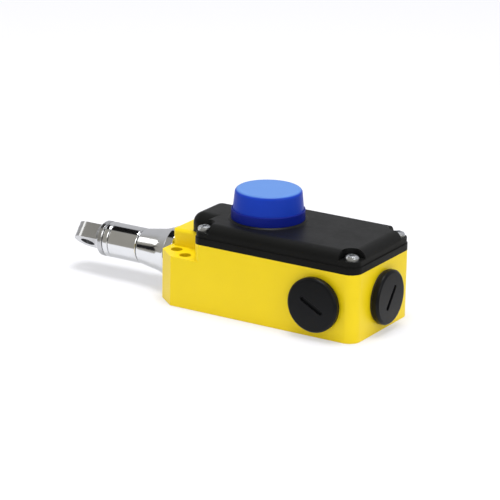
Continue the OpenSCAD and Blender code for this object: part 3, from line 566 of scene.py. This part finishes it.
def coat(nodes):
    """Gives CAD nodes that stay as they are the finish of their slot."""
    for name in nodes:
        mesh = NODES[name].data
        mesh.materials.clear()
        mesh.materials.append(finish_for(SLOT_OF[name]))


def wound(spring, joint):
    """A spring's own shape, shaded and standing for its CAD node; its joint's travel is worked out
    but not used.
    """
    letter = spring["mode"][-1]
    way = "xyz".index(letter)
    fixed = spring[f"fixed_end_{letter}_m"]
    piece = shown(merged(spring["node"]), f"{spring['node']}_wound", spring["node"])
    reach = max(abs(v.co[way] - fixed) for v in piece.data.vertices)
    travel = abs(joint["range_m"][1] - joint["range_m"][0])
    axis, anchor = Vector(), Vector()
    axis[way], anchor[way] = 1.0, fixed
    1.0 - travel / reach
    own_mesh(piece)


# ---------- operators ----------


class SWITCH_OT_housing(bpy.types.Operator):
    """Dress the cast housing in powder coat with softened edges"""

    bl_idname = "switch.housing"
    bl_label = "Housing"

    def execute(self, context):
        dressed("housing", "housing_casting", context.scene.switch_surfaces.casting_edge)
        return {"FINISHED"}


class SWITCH_OT_cover(bpy.types.Operator):
    """Dress the cover, its gasket and its screws"""

    bl_idname = "switch.cover"
    bl_label = "Cover"

    def execute(self, context):
        surfaces = context.scene.switch_surfaces
        dressed("cover", "cover_moulding", surfaces.cover_edge)
        dressed("cover_screws", "cover_pan_screws", 0.12 * MM, SHARP_ON_TURNED, 2)
        coat(["cover_gasket"])
        return {"FINISHED"}


class SWITCH_OT_plugs(bpy.types.Operator):
    """Dress the three blanking plugs and their seals"""

    bl_idname = "switch.plugs"
    bl_label = "Blanking plugs"

    def execute(self, context):
        width = context.scene.switch_surfaces.plug_edge
        for place in ("front", "end", "rear"):
            dressed(f"{place}_plug", f"{place}_blanking_plug", width, SHARP_ON_SLOPES)
        coat(["plug_seals"])
        return {"FINISHED"}


class SWITCH_OT_reset_button(bpy.types.Operator):
    """Dress the reset cap, its bezel and what lies under them"""

    bl_idname = "switch.reset_button"
    bl_label = "Reset button"

    def execute(self, context):
        dressed("reset_cap", "reset_cap_moulding", 0.3 * MM)
        dressed("reset_bezel", "reset_bezel_ring", 0.12 * MM)
        coat(["stem_seal", "reset_stem", "stem_clip"])
        return {"FINISHED"}


class SWITCH_OT_pull_rod(bpy.types.Operator):
    """Dress the sleeve, the barrel, the swivel and the rod inside them"""

    bl_idname = "switch.pull_rod"
    bl_label = "Pull rod"

    def execute(self, context):
        width = context.scene.switch_surfaces.turned_edge
        dressed("guide_sleeve", "guide_sleeve_turned", width, SHARP_ON_SLOPES)
        dressed("barrel", "barrel_turned", width, SHARP_ON_TURNED)
        dressed("swivel_ring", "swivel_ring_turned", width, SHARP_ON_TURNED)
        dressed("swivel_eye", "swivel_eye_forged", 2 * width, SHARP_ON_TURNED)
        coat(["rod_wiper", "guide_bush", "pull_shaft", "swivel_nut", "thrust_washer",
              "cam_carriage", "shaft_nut"])
        return {"FINISHED"}


class SWITCH_OT_mechanism(bpy.types.Operator):
    """Finish the chassis, the latch, the contacts and the earth terminal"""

    bl_idname = "switch.mechanism"
    bl_label = "Mechanism"

    def execute(self, context):
        coat(["chassis_plate", "chassis_screws", "latch_bracket", "bracket_rivets",
              "latch_pin", "latch_lever", "latch_spring", "block_screws",
              "terminal_screws", "earth_screw", "earth_washer"])
        for side in ("front", "rear"):
            coat([f"contact_block_{side}", f"contact_plunger_{side}", f"contact_bridge_{side}",
                  f"fixed_contacts_{side}"])
        return {"FINISHED"}


class SWITCH_OT_springs(bpy.types.Operator):
    """Dress the springs that shorten as their joints move"""

    bl_idname = "switch.springs"
    bl_label = "Springs"

    def execute(self, context):
        for joint in frame["record"]["behaviour"]["joints"]:
            for spring in joint.get("deforming_nodes", []):
                wound(spring, joint)
        return {"FINISHED"}


def add_lamp(name, power, size, place):
    """A square area lamp that looks at the middle of the object."""
    lamp = bpy.data.lights.new(name, "AREA")
    lamp.shape = "SQUARE"
    lamp.size = size
    lamp.energy = power
    made = bpy.data.objects.new(name, lamp)
    made.location = place
    made.rotation_euler = (Vector(MIDDLE) - Vector(place)).to_track_quat("-Z", "Y").to_euler()
    bpy.context.scene.collection.objects.link(made)


def add_sheet(name, size, material):
    """A flat square stage piece, centred on the origin."""
    bm = bmesh.new()
    bmesh.ops.create_grid(bm, x_segments=1, y_segments=1, size=size / 2)
    mesh = bpy.data.meshes.new(name)
    bm.to_mesh(mesh)
    bm.free()
    mesh.materials.append(material)
    made = bpy.data.objects.new(name, mesh)
    bpy.context.scene.collection.objects.link(made)
    return made


def floor_material(studio):
    """A pale floor that takes shadow. Gloss sees its white sheet and the darker room in front."""
    paint = Paint("floor")
    x, y, _ = paint.axes()
    sheet = y.above(studio.sheet_front, 0.012)
    sheet = sheet * x.between(studio.sheet_left, studio.sheet_right, 0.03)
    matte = paint.node("ShaderNodeBsdfDiffuse", None, {"Color": studio.floor})
    white = paint.node("ShaderNodeEmission", None, {"Color": WHITE, "Strength": 1.0})
    room = paint.node("ShaderNodeEmission", None, {"Color": studio.room, "Strength": 1.0})
    seen = paint.ray("Camera", "Glossy", "Transmission") * studio.floor_mix
    pale = paint.node("ShaderNodeMixShader", None, {0: seen, 1: matte, 2: white})
    beyond = paint.ray("Glossy") * (1.0 - sheet)
    both = paint.node("ShaderNodeMixShader", None, {0: beyond, 1: pale, 2: room})
    paint.node("ShaderNodeOutputMaterial", {"is_active_output": True}, {"Surface": both})
    return paint.material


def surround(studio):
    """The studio round the object: plain light for matte surfaces, white behind for the camera.

    Gloss and glass see the white backdrop too, the room on the near side and a dark flag overhead.
    """
    paint = Paint("studio", bpy.data.worlds, "Generated")
    x, y, z = paint.axes()
    high = z._math("MAXIMUM", z, 0.05)
    flag = (x / high).between(*FLAG_ALONG, 0.06) * (y / high).between(*FLAG_ACROSS, 0.06)
    corner = (-x).between(*CORNER_LEFT, 0.05) * (-y).above(CORNER_NEAR, 0.1)
    corner = corner * (1.0 - z.above(CORNER_TOP, 0.05))
    seen = paint.mix((-y).above(0.0, 0.35), studio.backdrop, studio.room)
    seen = paint.mix(flag * z.above(FLAG_LOWEST, 0.05), seen, FLAG_COLOUR)
    seen = paint.mix(corner, seen, CORNER_COLOUR)
    plain = (studio.sky, studio.sky, studio.sky)
    colour = paint.mix(paint.ray("Glossy", "Transmission"), plain, seen)
    colour = paint.mix(paint.ray("Camera"), colour, WHITE)
    glow = paint.node("ShaderNodeBackground", None, {"Color": colour, "Strength": 1.0})
    paint.node("ShaderNodeOutputWorld", {"is_active_output": True}, {"Surface": glow})
    bpy.context.scene.world = paint.material


def add_camera(focal):
    """The camera at its place, set square from its right and back directions."""
    camera = bpy.data.cameras.new("camera")
    camera.sensor_width = SENSOR_WIDTH
    camera.lens = focal
    camera.clip_end = 20.0
    seat = bpy.data.objects.new("camera", camera)
    bpy.context.scene.collection.objects.link(seat)
    back = CAMERA_BACK.normalized()
    right = (CAMERA_RIGHT - back * CAMERA_RIGHT.dot(back)).normalized()
    turn = Matrix((right, back.cross(right), back)).transposed()
    seat.matrix_world = Matrix.Translation(CAMERA_PLACE) @ turn.to_4x4()
    return seat


class SWITCH_OT_stage(bpy.types.Operator):
    """Set the floor, the lamps, the surround and the camera"""

    bl_idname = "switch.stage"
    bl_label = "Studio"

    def execute(self, context):
        scene = context.scene
        studio = scene.switch_studio
        floor = add_sheet("floor", FLOOR_SIZE, floor_material(studio))
        floor.location.z = CAD_BOX[0][2] - FLOOR_DROP
        surround(studio)
        add_lamp("top", studio.top_power, TOP_LAMP_SIZE, TOP_LAMP_PLACE)
        add_lamp("left", studio.key_power, LEFT_LAMP_SIZE, LEFT_LAMP_PLACE)
        add_lamp("side", studio.side_power, SIDE_LAMP_SIZE, SIDE_LAMP_PLACE)
        scene.camera = add_camera(studio.focal)
        scene.view_settings.view_transform = "Standard"
        return {"FINISHED"}


class SWITCH_PT_panel(bpy.types.Panel):
    """The switch's operators and settings in the sidebar"""

    bl_idname = "SWITCH_PT_panel"
    bl_label = "Rope pull switch"
    bl_space_type = "VIEW_3D"
    bl_region_type = "UI"
    bl_category = "Switch"

    def draw(self, context):
        for operator in OPERATORS:
            self.layout.operator(operator.bl_idname)
        for group in (context.scene.switch_colours, context.scene.switch_surfaces,
                      context.scene.switch_studio):
            box = self.layout.box()
            for name in group.bl_rna.properties.keys():
                if name not in ("rna_type", "name"):
                    box.prop(group, name)


OPERATORS = (
    SWITCH_OT_housing,
    SWITCH_OT_cover,
    SWITCH_OT_plugs,
    SWITCH_OT_reset_button,
    SWITCH_OT_pull_rod,
    SWITCH_OT_mechanism,
    SWITCH_OT_springs,
    SWITCH_OT_stage,
)
GROUPS = (SwitchColours, SwitchSurfaces, SwitchStudio)


def register():
    for item in GROUPS + OPERATORS + (SWITCH_PT_panel,):
        bpy.utils.register_class(item)
    bpy.types.Scene.switch_colours = PointerProperty(type=SwitchColours)
    bpy.types.Scene.switch_surfaces = PointerProperty(type=SwitchSurfaces)
    bpy.types.Scene.switch_studio = PointerProperty(type=SwitchStudio)


def unregister():
    del bpy.types.Scene.switch_studio
    del bpy.types.Scene.switch_surfaces
    del bpy.types.Scene.switch_colours
    for item in reversed(GROUPS + OPERATORS + (SWITCH_PT_panel,)):
        bpy.utils.unregister_class(item)


def main():
    register()
    bpy.ops.switch.housing()
    bpy.ops.switch.cover()
    bpy.ops.switch.plugs()
    bpy.ops.switch.reset_button()
    bpy.ops.switch.pull_rod()
    bpy.ops.switch.mechanism()
    bpy.ops.switch.springs()
    bpy.ops.switch.stage()


if __name__ == "__main__":
    main()
